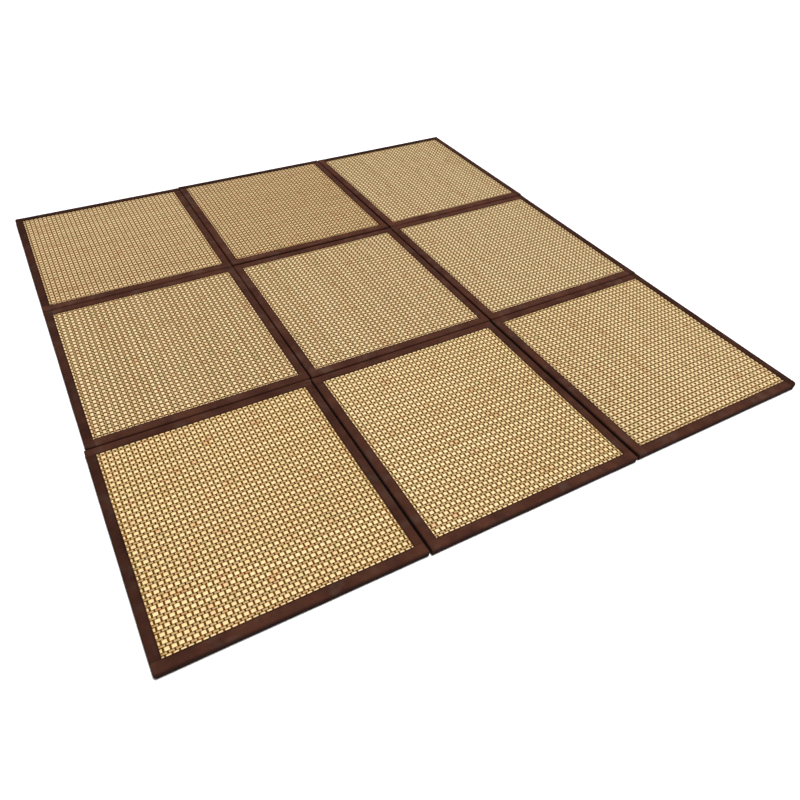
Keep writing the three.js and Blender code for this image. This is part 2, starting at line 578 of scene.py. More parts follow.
@dataclass(frozen=True)
class BindingCotton:
    """Plain dyed cotton tape, tightly woven: matt, with a faint twill and a little lint."""

    # the first colour is shown alone low on the wall, as painted shade
    dye: str = "22110d"
    faded: str = "482a1f"
    scuffed: str = "4e4038"
    thread: str = "26120c"
    strip_shades: tuple[float, float] = (0.5, 1.5)  # lightness of the least and most faded strip
    lint_shades: tuple[float, float] = (0.88, 1.12)
    fading: tuple[float, float] = (0.35, 0.85)  # of the least and the most faded patches
    scuffing: float = 0.34  # of the most scuffed patches
    ior: float = 1.5
    roughness: float = 0.85
    gloss: float = 0.04  # the fibres shade one another, so that little is left of their gloss
    twill_pitch: float = 1.0 * MM  # drawn about twice as coarse as the real twill, to show
    twill_relief: float = 0.12 * MM
    patch_size: float = 60 * MM
    scuff_size: float = 35 * MM
    lint_size: float = 1.1 * MM
    stitch_line: float = 59.7 * MM  # from the cut edge under the pad, round to the lap
    stitch_pitch: float = 4.0 * MM
    stitch_width: float = 0.8 * MM
    pucker_width: float = 2.5 * MM

    def made(self) -> bpy.types.Material:
        """Builds the material. It reads the point values cloth and wear.

        cloth holds the distance along the strip, the distance across the cloth and how faded the
        strip is; the other value is 0 on the lower half of the wall and rises to 1 on top, so that the
        wall keeps the dark dye as painted shade and the faded patches and scuffs show towards the top.
        The lap is sewn down with a line of stitches, and the cloth puckers along them, with painted
        shade along the pucker's groove.

        Returns:
            The material.
        """
        material, tree = new_material("dyed_cotton_twill")
        cloth = add_node(tree, "Attribute", output="Vector", attribute_name="cloth")
        wear = add_node(tree, "Attribute", output="Fac", attribute_name="wear")
        along, across, faded = add_node(tree, "SeparateXYZ", {0: cloth}).node.outputs
        twill = add_node(
            tree,
            "TexWave",
            {"Vector": cloth, "Scale": WAVE_TURN / self.twill_pitch, "Distortion": 0.6},
            1,
            wave_type="BANDS",
            bands_direction="DIAGONAL",
        )
        place = add_node(tree, "TexCoord", output="Object")
        patches, scuffs, lint = (
            add_node(
                tree,
                "TexNoise",
                {"Vector": place, "Scale": 1 / size, "Detail": detail, "Roughness": fine},
            )
            for size, detail, fine in (
                (self.patch_size, 5.0, 0.65),
                (self.scuff_size, 4.0, 0.5),
                (self.lint_size, 2.0, 0.5),
            )
        )
        # A stitch's middle lies half a pitch along, and it is about 0.78 of a pitch long.
        off_line = add_node(tree, "Math", {0: across, 1: self.stitch_line}, operation="SUBTRACT")
        turn = add_node(tree, "Math", {0: along, 1: self.stitch_pitch}, operation="DIVIDE")
        turn = add_node(tree, "Math", {0: turn}, operation="FRACT")
        off_middle = add_node(tree, "Math", {0: turn, 1: 0.5}, operation="SUBTRACT")
        off_line, off_middle = (
            add_node(tree, "Math", {0: off}, operation="ABSOLUTE") for off in (off_line, off_middle)
        )
        pucker, on_line, in_stitch = (
            add_node(tree, "MapRange", {0: off, 1: inner, 2: outer, 3: 1.0, 4: 0.0})
            for off, inner, outer in (
                (off_line, 0.0, self.pucker_width / 2),
                (off_line, 0.3 * self.stitch_width, 0.5 * self.stitch_width),
                (off_middle, 0.36, 0.42),
            )
        )
        stitch = add_node(tree, "Math", {0: on_line, 1: in_stitch}, operation="MULTIPLY")
        fading, scuffing, strip_shade, lint_shade = (
            add_node(tree, "MapRange", {0: value, 1: low, 2: high, 3: first, 4: last})
            for value, low, high, (first, last) in (
                (patches, 0.35, 0.65, self.fading),
                (scuffs, 0.52, 0.75, (0.0, self.scuffing)),
                (faded, 0.0, 1.0, self.strip_shades),
                (lint, 0.3, 0.7, self.lint_shades),
            )
        )
        # painted shade: the faded patches and scuffs are held to the top, and the wall keeps the dark dye
        fading, scuffing, value = (
            add_node(tree, "Math", {0: first, 1: second}, operation="MULTIPLY")
            for first, second in ((wear, fading), (wear, scuffing), (strip_shade, lint_shade))
        )
        # painted shade: darker along the stitch line, in the groove of the pucker
        shaded = {0: pucker, 1: -0.6, 2: fading}
        fading = add_node(tree, "Math", shaded, operation="MULTIPLY_ADD")
        dyes = {0: fading, 6: linear(self.dye), 7: linear(self.faded)}
        colour = add_node(tree, "Mix", dyes, 2, data_type="RGBA")
        greyed = {0: scuffing, 6: colour, 7: linear(self.scuffed)}
        colour = add_node(tree, "Mix", greyed, 2, data_type="RGBA")
        colour = add_node(tree, "HueSaturation", {"Value": value, "Color": colour})
        sewn = {0: stitch, 6: colour, 7: linear(self.thread)}
        colour = add_node(tree, "Mix", sewn, 2, data_type="RGBA")
        height = twill
        for pattern, rise in ((lint, 0.5), (pucker, -3.0), (stitch, 4.0)):
            raised = {0: pattern, 1: rise, 2: height}
            height = add_node(tree, "Math", raised, operation="MULTIPLY_ADD")
        relief = {"Strength": 0.5, "Distance": self.twill_relief, "Height": height}
        bump = add_node(tree, "Bump", relief)
        shader = add_node(
            tree,
            "BsdfPrincipled",
            {
                "Base Color": colour,
                "Roughness": self.roughness,
                "IOR": self.ior,
                "Specular IOR Level": self.gloss,
                "Normal": bump,
            },
        )
        add_node(tree, "OutputMaterial", {0: shader})
        return material


@dataclass(frozen=True)
class NeedledFelt:
    """Needle-punched felt of dark brown fibres: matt, with a loose matted surface."""

    fibre: str = "3b2620"
    pale_fibre: str = "5a4238"
    palest: float = 0.7  # how pale the palest tufts are, from 0 to 1
    ior: float = 1.5
    roughness: float = 0.95
    tuft_size: float = 3 * MM
    tuft_relief: float = 0.4 * MM

    def made(self) -> bpy.types.Material:
        """Builds the material, on Object coordinates.

        Returns:
            The material.
        """
        material, tree = new_material("needled_felt")
        place = add_node(tree, "TexCoord", output="Object")
        tufts = add_node(
            tree,
            "TexNoise",
            {"Vector": place, "Scale": 1 / self.tuft_size, "Detail": 6.0, "Distortion": 1.5},
        )
        share = add_node(tree, "MapRange", {0: tufts, 1: 0.4, 2: 0.8, 4: self.palest})
        fibres = {0: share, 6: linear(self.fibre), 7: linear(self.pale_fibre)}
        colour = add_node(tree, "Mix", fibres, 2, data_type="RGBA")
        relief = {"Strength": 0.8, "Distance": self.tuft_relief, "Height": tufts}
        bump = add_node(tree, "Bump", relief)
        shader = add_node(
            tree,
            "BsdfPrincipled",
            {"Base Color": colour, "Roughness": self.roughness, "IOR": self.ior, "Normal": bump},
        )
        add_node(tree, "OutputMaterial", {0: shader})
        return material


@dataclass(frozen=True)
class Finishes:
    """The finishes of the mat, made once."""

    rattan: bpy.types.Material
    bast: bpy.types.Material
    cotton: bpy.types.Material
    felt: bpy.types.Material

    @classmethod
    def made(cls) -> "Finishes":
        """Builds each finish."""
        return cls(
            SplitRattan().made(), TwistedBast().made(), BindingCotton().made(), NeedledFelt().made()
        )


# The woven face


@dataclass
class WovenFace:
    """A plain weave: flat rattan wefts, a wide cream one and a narrow tan one by turns, over cords.

    Cords and wefts are counted from the middle of the panel. An even weft is cream and passes over
    the even cords and under the odd ones, and a tan weft does the opposite.
    """

    cord_pitch: float = 7.225 * MM
    weft_pitch: float = 7.6 * MM
    cream_width: float = 10.2 * MM
    tan_width: float = 5.9 * MM
    squeeze: float = 0.93  # how much narrower a cream weft is where it goes under a cord
    waist: float = 0.92  # how much narrower a tan weft is where it arches over a cord
    covered_tone: float = 0.43  # a tan weft's tone under a cord: it is shown paler there than on its crowns over the cords
    weft_thickness: float = 1.0 * MM
    weft_lift: float = 0.35 * MM
    cord_width: float = 4.6 * MM
    pinch: float = 0.74  # how much narrower a cord is where it crosses a tan weft
    cord_thickness: float = 1.0 * MM
    cord_lift: float = 0.8 * MM
    last_cord: int = 37
    last_weft: int = 36
    hidden_strands: int = 1  # at each side, wholly under the binding
    sink: float = 0.5 * MM  # how much lower the rim lies, under the binding
    sink_length: float = 6 * MM
    window_half: float = 273.5 * MM
    wander: float = 0.25 * MM
    wander_length: float = 400 * MM
    uneven_width: float = 0.03  # how much wider or narrower than usual a weft may be
    own_tone: float = 0.35  # the share of a weft's tone that is its own and not its panel's

    def weft_section(self, width: np.ndarray) -> np.ndarray:
        """The section of a flat sliver with a rounded upper side.

        Args:
            width: Each weft's width.

        Returns:
            The section's points across and up, (wefts, 5, 2).
        """
        across = np.array([-0.5, 0.0, 0.5, 0.26, -0.26])
        up = np.array([-0.05, -0.5, -0.05, 0.5, 0.5]) * self.weft_thickness
        wide = width[:, None] * across
        return np.stack([wide, np.broadcast_to(up, wide.shape)], axis=-1)

    def cord_section(self) -> np.ndarray:
        """A cord's section as three sides, with one of them on top.

        Returns:
            The section's points across and up, (3, 2).
        """
        across = np.array([0.0, 0.5, -0.5]) * self.cord_width
        up = np.array([-0.5, 0.35, 0.35]) * self.cord_thickness
        return np.stack([across, up], axis=-1)

    def sunk(self, x: np.ndarray, y: np.ndarray) -> np.ndarray:
        """How far the weave is pressed down: an eased step that starts just inside the window."""
        reach = np.maximum(np.abs(x), np.abs(y))
        return self.sink * eased((reach - self.window_half + self.sink_length) / self.sink_length)

    def strands(
        self,
        along: np.ndarray,
        aside: np.ndarray,
        height: np.ndarray,
        section: np.ndarray,
        tone: np.ndarray,
        chance: np.ndarray,
        is_weft: bool,
        spread: np.ndarray | float = 1.0,
    ) -> Surface:
        """Sweeps a section along each strand's stations.

        Each ring stands square to the strand's main way: a section point's first number is added
        across the strand and its second one upwards.

        Args:
            along: Distance of each station along the strand, (strands, stations).
            aside: Distance of each station from the middle of the panel, the same shape.
            height: Height of each station, the same shape.
            section: The section's points, (strands, points, 2).
            tone: How tan a weft is, or 1 where a cord lies over a tan weft and 0 elsewhere, for
                each strand or for each of its stations.
            chance: A random number for each strand.
            is_weft: True for strands along X, false for strands along Y.
            spread: How much wider the section is at each station.

        Returns:
            The strands, with their strand and tone values.
        """
        wide = section[:, None, :, 0] * np.broadcast_to(spread, along.shape)[..., None]
        across = aside[..., None] + (wide if is_weft else -wide)
        up = height[..., None] + section[:, None, :, 1]
        length = np.broadcast_to(along[..., None], across.shape)
        x, y = (length, across) if is_weft else (across, length)
        rings = np.stack([x, y, up - self.sunk(x, y)], axis=-1)
        shape = across.shape
        own = np.broadcast_to(chance[:, None, None], shape)
        strand = np.stack([length, own, wide], axis=-1)
        by_station = tone if tone.ndim == 2 else tone[:, None]
        tones = np.broadcast_to(by_station[..., None, None].astype(float), (*shape, 1))
        return Surface.lofted(rings, 0 if is_weft else 1, strand=strand, tone=tones)

    def surface(
        self, middle_height: float, half: float, ripeness: float, dice: np.random.Generator
    ) -> Surface:
        """Weaves the whole face in the panel's own frame.

        A weft's middle line is a zigzag, up by the weft's lift over a cord and down by it under
        the next. A cord's is the same zigzag the other way, higher by its own lift. Both wander a
        little to the side, and beyond the last crossing they run straight to the cut edge.

        Args:
            middle_height: Height of the middle plane of the weave.
            half: Half of the sheet's side, to its cut edge.
            ripeness: How ripe the cane is, from 0 to 1.
            dice: Where the unevenness comes from.

        Returns:
            All the strands as one surface.
        """
        cords = np.arange(-self.last_cord, self.last_cord + 1)
        wefts = np.arange(-self.last_weft, self.last_weft + 1)
        cord_wander = Waves.drawn(dice, self.wander_length, len(cords))
        weft_wander = Waves.drawn(dice, self.wander_length, len(wefts))
        is_tan = wefts % 2 != 0
        tan = is_tan.astype(float)

        def ends(values: np.ndarray, first: np.ndarray, last: np.ndarray) -> np.ndarray:
            """Each row with one more value before it and one after it."""
            return np.concatenate([first[:, None], values, last[:, None]], axis=1)

        def crossings(weft_rows: np.ndarray, cord_rows: np.ndarray) -> np.ndarray:
            """1 where the weft is on top of the cord and -1 where it is below."""
            return 1 - 2 * ((weft_rows[:, None] + cord_rows[None, :]) % 2)

        over = crossings(wefts, cords)
        cream_spread = np.where(over > 0, 1.0, self.squeeze)
        tan_spread = np.where(over > 0, self.waist, 1.0)
        weft_spread = np.where(is_tan[:, None], tan_spread, cream_spread)
        weft_tone = tan[:, None] * np.where(over > 0, 1.0, self.covered_tone)
        cord_x = cords * self.cord_pitch
        weft_y = wefts * self.weft_pitch
        x = cord_x[None, :] + self.wander * cord_wander.at(weft_y[:, None])
        y = weft_y[:, None] + self.wander * weft_wander.at(cord_x[:, None]).T
        rim = np.full(len(wefts), half)
        flat = np.zeros(len(wefts))
        weft_surface = self.strands(
            ends(x, -rim, rim),
            ends(y, y[:, 0], y[:, -1]),
            middle_height + ends(over * self.weft_lift, flat, flat),
            self.weft_section(
                np.where(is_tan, self.tan_width, self.cream_width)
                * dice.uniform(1 - self.uneven_width, 1 + self.uneven_width, len(wefts))
            ),
            ends(weft_tone, tan, tan),
            self.own_tone * dice.uniform(0, 1, len(wefts)) + (1 - self.own_tone) * (1 - ripeness),
            True,
            ends(weft_spread, flat + 1, flat + 1),
        )
        rim = np.full(len(cords), half)
        low = np.full(len(cords), -self.cord_lift)
        cord_surface = self.strands(
            ends(y.T, -rim, rim),
            ends(x.T, x[0], x[-1]),
            middle_height + ends(-over.T * self.cord_lift, low, low),
            np.broadcast_to(self.cord_section(), (len(cords), 3, 2)),
            np.broadcast_to(np.concatenate([[0], is_tan, [0]]), (len(cords), len(wefts) + 2)),
            dice.uniform(0, 1, len(cords)),
            False,
            np.concatenate([[1.0], np.where(is_tan, self.pinch, 1.0), [1.0]]),
        )
        return Surface.joined(
            [weft_surface, cord_surface, *self.hidden(middle_height, half, dice)]
        )

    def hidden(
        self, middle_height: float, half: float, dice: np.random.Generator
    ) -> list[Surface]:
        """Lays the straight strands that are wholly under the binding.

        Args:
            middle_height: Height of the middle plane of the weave.
            half: Half of the sheet's side, to its cut edge.
            dice: Where the unevenness comes from.

        Returns:
            The wefts and then the cords.
        """
        surfaces = []
        steps = np.arange(1, self.hidden_strands + 1)
        counts = np.concatenate([-steps, steps])
        for is_weft, last, pitch in (
            (True, self.last_weft, self.weft_pitch),
            (False, self.last_cord, self.cord_pitch),
        ):
            number = counts + np.sign(counts) * last
            aside = np.repeat((number * pitch)[:, None], 2, axis=1)
            along = np.broadcast_to([-half, half], aside.shape)
            lift = 0.0 if is_weft else -self.cord_lift
            widths = np.where(number % 2 != 0, self.tan_width, self.cream_width)
            surfaces.append(
                self.strands(
                    along,
                    aside,
                    np.full(aside.shape, middle_height + lift),
                    self.weft_section(widths)
                    if is_weft
                    else np.broadcast_to(self.cord_section(), (len(number), 3, 2)),
                    (number % 2 != 0).astype(float),
                    dice.uniform(0, 1, len(number)),
                    is_weft,
                )
            )
        return surfaces


# The binding


@dataclass(frozen=True)
class EdgePath:
    """A stretch of a panel's edge in plan, with a row for each station along it.

    Up to the inset in square the cloth lies square to the outline, and further in it slides
    towards the lap line above and the under line below.
    """

    distance: np.ndarray
    outline: np.ndarray
    outward: np.ndarray
    lap_line: np.ndarray
    under_line: np.ndarray
    square: np.ndarray


@dataclass
class Binding:
    """The strips of cloth round a panel's edge, in the panel's own frame.

    A strip's section starts with the cloth that is turned under, rounds the heel, climbs the wall,
    turns over the shoulder and ends in the folded edge of the lap.
    """

    half: float = 298.5 * MM
    height: float = 18 * MM
    lap: float = 25 * MM
    under_lap: float = 22 * MM
    cloth: float = 1 * MM
    shoulder: float = 5 * MM
    heel: float = 1.2 * MM  # tight, as the pad presses the fold
    butt_gap: float = 0.15 * MM
    crown: float = 0.2 * MM  # how much the lap stands up between the shoulder and its edge
    corner_fullness: float = 0.5 * MM
    wall_wave: float = 0.5 * MM
    lap_wave: float = 0.5 * MM
    rise_wave: float = 0.15 * MM
    wave_length: float = 330 * MM
    end_turn: float = 1.2 * MM
    end_drop: float = 0.3 * MM
    spacing: float = 14 * MM
    fan: float = 80 * MM  # how far past a corner the lap line still runs ahead of the edge
    bend_ease: float = 12 * MM  # how far from a corner its tight shoulder eases off
    wall_reach: float = 10 * MM  # how far in over the pad the wall's waves die out
    corner_reach: float = 14 * MM  # how far along the edge a corner's fullness dies out

    @property
    def seam(self) -> float:
        """How far from the panel's middle the long strips start."""
        return self.half - self.lap

    def arc(
        self, inset: float, height: float, radius: float, start: float, end: float, steps: int
    ) -> np.ndarray:
        """An arc of a section.

        Args:
            inset: How far in its centre lies.
            height: How high it lies.
            radius: Its radius.
            start: The angle at which it starts, in degrees from outwards to upwards.
            end: The angle at which it ends.
            steps: The number of its sides.

        Returns:
            Its points as (inset, height), one row each.
        """
        angle = np.radians(np.linspace(start, end, steps + 1))
        return np.stack([inset - radius * np.cos(angle), height + radius * np.sin(angle)], axis=-1)

    def section(self) -> np.ndarray:
        """The closed section of a strip, outside first and then back along the inside.

        Returns:
            Its points as (inset, height), one row each.
        """
        top, cloth, lap = self.height, self.cloth, self.lap
        centre = top - self.shoulder
        fold = cloth / 2
        outside = [
            np.array([[self.under_lap, 0.0], [self.under_lap / 2, 0.0]]),
            self.arc(self.heel, self.heel, self.heel, -90, 0, 3),
            np.array([[0.0, (self.heel + centre) / 2]]),
            self.arc(self.shoulder, centre, self.shoulder, 0, 90, 5),
            np.array([[lap * share, top] for share in (0.36, 0.55, 0.75, 0.92)]),
            self.arc(lap - fold, top - fold, -fold, -90, 90, 4)[1:],
        ]
        inside = [
            np.array([[lap * 0.6, top - cloth]]),
            self.arc(self.shoulder, centre, self.shoulder - cloth, 90, 0, 2),
            np.array([[cloth, self.heel], [self.heel, cloth], [self.under_lap, cloth]]),
        ]
        return np.concatenate(outside + inside)

    def half_path(self, corner: float) -> EdgePath:
        """The left half of a long strip's path: up the left edge from the seam, and round a corner.

        The line of the lap runs ahead of the edge, so that the cloth fans out round the corner.

        Args:
            corner: The corner's radius in plan.

        Returns:
            The stations from the seam to the middle of the back edge.
        """
        leg = self.lap - corner
        bend = math.pi / 2 * corner
        halfway = leg + bend + self.half - corner
        fan = leg + bend + self.fan
        count = round((halfway - leg - bend) / self.spacing)
        distance = np.concatenate(
            [
                [0.0, self.end_turn / 3],
                np.linspace(self.end_turn, leg, 3, endpoint=False),
                leg + np.linspace(0, bend, 6, endpoint=False),
                np.linspace(leg + bend, halfway, count + 1),
            ]
        )
        angle = np.clip((distance - leg) / corner, 0, math.pi / 2)
        past = np.maximum(distance - leg - bend, 0)
        outward = np.stack([-np.cos(angle), np.sin(angle)], axis=-1)
        centre = np.stack(
            [-self.half + corner + past, self.seam + np.minimum(distance, leg)], axis=-1
        )
        outline = centre + corner * outward
        ahead = np.clip(distance / fan, 0, 1)
        reached = -self.half + corner + (fan - leg - bend)

        def line(start: float, y: np.ndarray) -> np.ndarray:
            """A line that starts at -start, runs ahead and then keeps level with the edge."""
            fanned = -start + (reached + start) * ahead
            return np.stack([np.where(distance < fan, fanned, outline[:, 0]), y], axis=-1)

        lap_line = line(self.seam, np.full_like(distance, self.seam))
        under = self.half - self.under_lap
        under_line = line(under, np.minimum(self.seam + distance, under))
        off_bend = np.maximum(np.maximum(leg - distance, distance - leg - bend), 0)
        tight = min(0.8 * corner, self.shoulder)
        square = tight + (self.shoulder - tight) * eased(off_bend / self.bend_ease)
        return EdgePath(distance, outline, outward, lap_line, under_line, square)

    def long_path(self, left: float, right: float) -> EdgePath:
        """The path of the back strip, whose right half is a left one mirrored.

        Args:
            left: Radius in plan of the corner on the left.
            right: Radius of the one on the right.

        Returns:
            The stations from the seam on the left edge round to the one on the right.
        """
        first, other = self.half_path(left), self.half_path(right)
        total = first.distance[-1] + other.distance[-1]

        def joined(own: np.ndarray, mirrored: np.ndarray) -> np.ndarray:
            """The left half's rows, and then the right half's from the middle outwards."""
            return np.concatenate([own, mirrored[-2::-1] * (-1, 1)])

        return EdgePath(
            np.concatenate([first.distance, total - other.distance[-2::-1]]),
            joined(first.outline, other.outline),
            joined(first.outward, other.outward),
            joined(first.lap_line, other.lap_line),
            joined(first.under_line, other.under_line),
            np.concatenate([first.square, other.square[-2::-1]]),
        )

    def short_path(self) -> EdgePath:
        """The path of a short strip: straight along the right edge, from butt to butt.

        Returns:
            The stations from the front butt to the back one.
        """
        reach = self.seam - self.butt_gap
        count = round(2 * reach / self.spacing)
        inner = np.linspace(-reach + self.end_turn, reach - self.end_turn, count)
        turn = self.end_turn * 2 / 3
        y = np.concatenate([[-reach, -reach + turn], inner, [reach - turn, reach]])

        def line(x: float) -> np.ndarray:
            """The stations on a line at that distance to the right."""
            return np.stack([np.full_like(y, x), y], axis=-1)

        outward = np.broadcast_to([1.0, 0.0], (len(y), 2))
        under = self.half - self.under_lap
        square = np.full_like(y, self.shoulder)
        return EdgePath(y + reach, line(self.half), outward, line(self.seam), line(under), square)

    def surface(self, path: EdgePath, faded: float, dice: np.random.Generator) -> Surface:
        """Sweeps the section along a path.

        Near the edge a section point lies its inset inwards, square to the outline. Further in it
        slides along the straight line to the path's lap line or under line. Slow waves draw the
        wall in, move the edge of the lap and lift the cloth between them, and each end of the
        strip is turned down.

        Args:
            path: The stations.
            faded: How faded the strip is, from 0 to 1.
            dice: Where the unevenness comes from.

        Returns:
            The strip, with its cloth and wear values.
        """
        section = self.section()
        shape = (len(path.distance), len(section))
        inset = np.broadcast_to(section[:, 0], shape).copy()
        height = np.broadcast_to(section[:, 1], shape).copy()
        is_top = height > self.height / 2
        distance = path.distance[:, None]
        total = path.distance[-1]
        from_end = np.minimum(distance, total - distance)
        wall, edge, rise = (Waves.drawn(dice, self.wave_length).at(distance) for _ in range(3))
        on_wall = 1 - eased((inset - self.cloth) / self.wall_reach)
        on_lap = is_top * eased((inset - self.lap / 2) / (self.lap / 2))
        between = is_top * np.sin(np.pi * np.clip(inset / self.lap, 0, 1))
        fold = 1 - eased(from_end / self.end_turn)
        at_corner = np.exp(-(((from_end - self.lap) / self.corner_reach) ** 2)) * is_top
        full = self.corner_fullness if np.ptp(path.outward[:, 0]) > 1 else 0.0
        height += between * (self.crown + self.rise_wave * rise) + full * at_corner * (1 - on_lap)
        height -= fold * self.end_drop * is_top
        inset += on_wall * (self.wall_wave * (wall + 1) / 2 + fold * self.end_drop)
        inset += on_lap * self.lap_wave * edge
        start = np.minimum(np.where(is_top, self.shoulder, self.heel), path.square[:, None])
        reach = np.where(is_top, self.lap, self.under_lap) - start
        slide = np.maximum(inset - start, 0)[..., None] / reach[..., None]
        square = np.minimum(inset, start)[..., None]
        near = path.outline[:, None] - path.outward[:, None] * square
        goal = np.where(is_top[..., None], path.lap_line[:, None], path.under_line[:, None])
        plan = near * (1 - slide) + goal * slide
        rings = np.concatenate([plan, height[..., None]], axis=-1)
        steps = np.linalg.norm(np.diff(section, axis=0, prepend=section[:1]), axis=1)
        across = np.broadcast_to(np.cumsum(steps), inset.shape)
        along = np.broadcast_to(distance, inset.shape)
        cloth = np.stack([along, across, np.full(inset.shape, faded)], axis=-1)
        # painted shade: 0 on the lower half of the wall, which keeps the dark dye, rising to 1 on top,
        # where the cloth fades and scuffs
        wear = eased((section[:, 1] - self.height / 2) / (self.height / 2))
        wear = np.broadcast_to(wear, inset.shape)
        return Surface.lofted(rings[None], cloth=cloth[None], wear=wear[None, ..., None])

    def cut_width(self) -> float:
        """The width of the cloth between its two edges, measured round the outside.

        Returns:
            The two flat laps, the two arcs and the wall between them, added up.
        """
        arcs = math.pi / 2 * (self.heel + self.shoulder)
        wall = self.height - self.heel - self.shoulder
        return self.under_lap - self.heel + arcs + wall + self.lap - self.shoulder


# The pad


@dataclass
class FeltPad:
    """The filled body of a panel: a flat slab, rounded at its upper edge and let in below."""

    half: float = 298.5 * MM
    side_inset: float = 1.3 * MM
    under_lap: float = 22.3 * MM
    let_in: float = 1.3 * MM
    foot: float = 1 * MM  # width and height of its bevelled lower edge
    shoulder: float = 3.7 * MM
    unevenness: float = 0.15 * MM
    around: int = 12  # stations on each straight side
    rings_in: int = 5  # from the rim to the middle, above and below

    def outline(self, inset: np.ndarray, radii: list[float]) -> np.ndarray:
        """A rounded square for each inset: straight sides, and corners that keep their centre.

        Each quarter is worked out as the right back one: its arc, and then the straight side to
        the next corner. It is then turned to its place.

        Args:
            inset: How far each outline lies in from the panel's edge, (levels,).
            radii: Radius of each of the panel's own corners.

        Returns:
            Points of shape (levels, points round the outline, 2).
        """
        angle = np.radians(np.linspace(0, 90, 5))[None, :]
        share = np.linspace(0, 1, self.around + 1)[None, 1:-1]
        quarters = []
        for corner, following in zip(Corner, np.roll(radii, -1)):
            radius = np.maximum(radii[corner.value] - inset, 0.0)[:, None]
            centre = (self.half - inset)[:, None] - radius
            far = (self.half - inset - np.maximum(following - inset, 0.0))[:, None]
            x = np.concatenate(
                [centre + radius * np.cos(angle), centre - (centre + far) * share], axis=1
            )
            level = np.broadcast_to(centre + radius, (len(inset), share.size))
            y = np.concatenate([centre + radius * np.sin(angle), level], axis=1)
            turned = [(x, y), (-y, x), (-x, -y), (y, -x)][corner.value]
            quarters.append(np.stack(turned, axis=-1))
        return np.concatenate(quarters, axis=1)

    def surface(self, top: float, radii: list[float], dice: np.random.Generator) -> Surface:
        """Stacks outlines from the middle of the underside over the rim to the middle of the top.

        Args:
            top: Height of the pad's upper face.
            radii: Radius of each of the panel's own corners.
            dice: Where the unevenness comes from.

        Returns:
            The pad.
        """
        shares = np.linspace(0.04, 1, self.rings_in)
        below = self.half - (self.half - self.under_lap) * shares
        angle = np.radians(np.linspace(0, 90, 4))
        rim = self.side_inset + self.shoulder
        edge = np.stack([rim - self.shoulder * np.cos(angle), np.sin(angle) * self.shoulder], -1)
        above = self.half - (self.half - rim) * shares[::-1]
        inset = np.concatenate(
            [below, [self.under_lap, self.side_inset + self.foot, self.side_inset], edge[:, 0], above[1:]]
        )
        height = np.concatenate(
            [
                np.zeros(len(below)),
                [self.let_in, self.let_in, self.let_in + self.foot],
                top - self.shoulder + edge[:, 1],
                np.full(len(above) - 1, top),
            ]
        )
        plan = self.outline(inset, radii)
        bumps = Waves.drawn(dice, 260 * MM)
        uneven = bumps.at(plan[..., 0] + 0.7 * plan[..., 1]) * self.unevenness
        is_face = (inset > rim + 5 * MM)[:, None]
        rise = np.where(is_face, np.where(height[:, None] > top / 2, -1, 1) * np.abs(uneven), 0.0)
        rings = np.concatenate([plan, (height[:, None] + rise)[..., None]], axis=-1)
        return Surface.lofted(rings[None])


# Panels, and the whole mat


@dataclass(frozen=True)
class WearAndShade:
    """What sun and feet have done to the mat, how faded its strips are and how golden its cane,
    and the painted shade of its outer back strips.

    Within the mat and at its front a strip is more faded towards the back right, and more where
    it runs across. The outer strips at the sides are trodden less and fade less. The outer back
    strips are darkest, as painted shade along the mat's back edge. The sun comes in from the front
    left.
    """

    middle: float = 0.61  # how faded a strip is in the middle of the mat, from 0 to 1
    slope: float = 0.15  # how much more for a metre to the right or to the back
    across: float = 0.12  # how much more where it runs across
    chance: float = 0.05  # how much more or less by chance
    outer_right: float = 0.3
    # painted shade: the darkest strips, along the mat's back edge
    outer_back: float = 0.05
    outer_left: float = 0.25
    golden: float = 0.75  # how golden the cane is in the middle of the front panels
    golden_slope: float = 0.45  # how much less for a metre to the right

    def fading(self, lies: PanelFrame, facing: Side, dice: np.random.Generator) -> float:
        """How faded a strip is.

        Args:
            lies: Where the panel lies.
            facing: The side of the mat that the strip faces.
            dice: Where the chance in it comes from.

        Returns:
            The fading, from 0 to 1.
        """
        outer = {
            Side.RIGHT: self.outer_right, Side.BACK: self.outer_back, Side.LEFT: self.outer_left
        }
        angle = facing.value * math.pi / 2
        is_outer = lies.middle @ (math.cos(angle), math.sin(angle)) > lies.sheet_half
        if is_outer and facing in outer:
            usual = outer[facing]
        else:
            is_across = facing in (Side.FRONT, Side.BACK)
            usual = self.middle + self.slope * float(sum(lies.middle)) + self.across * is_across
        return usual + dice.uniform(-self.chance, self.chance)

    def sunned(self, lies: PanelFrame) -> float:
        """How golden the sun has turned a panel's cane: only the front ones, and more to the left.

        Args:
            lies: Where the panel lies.

        Returns:
            The share, from 0 to 1.
        """
        is_front = lies.middle[1] < -lies.sheet_half
        return self.golden - self.golden_slope * float(lies.middle[0]) if is_front else 0.0


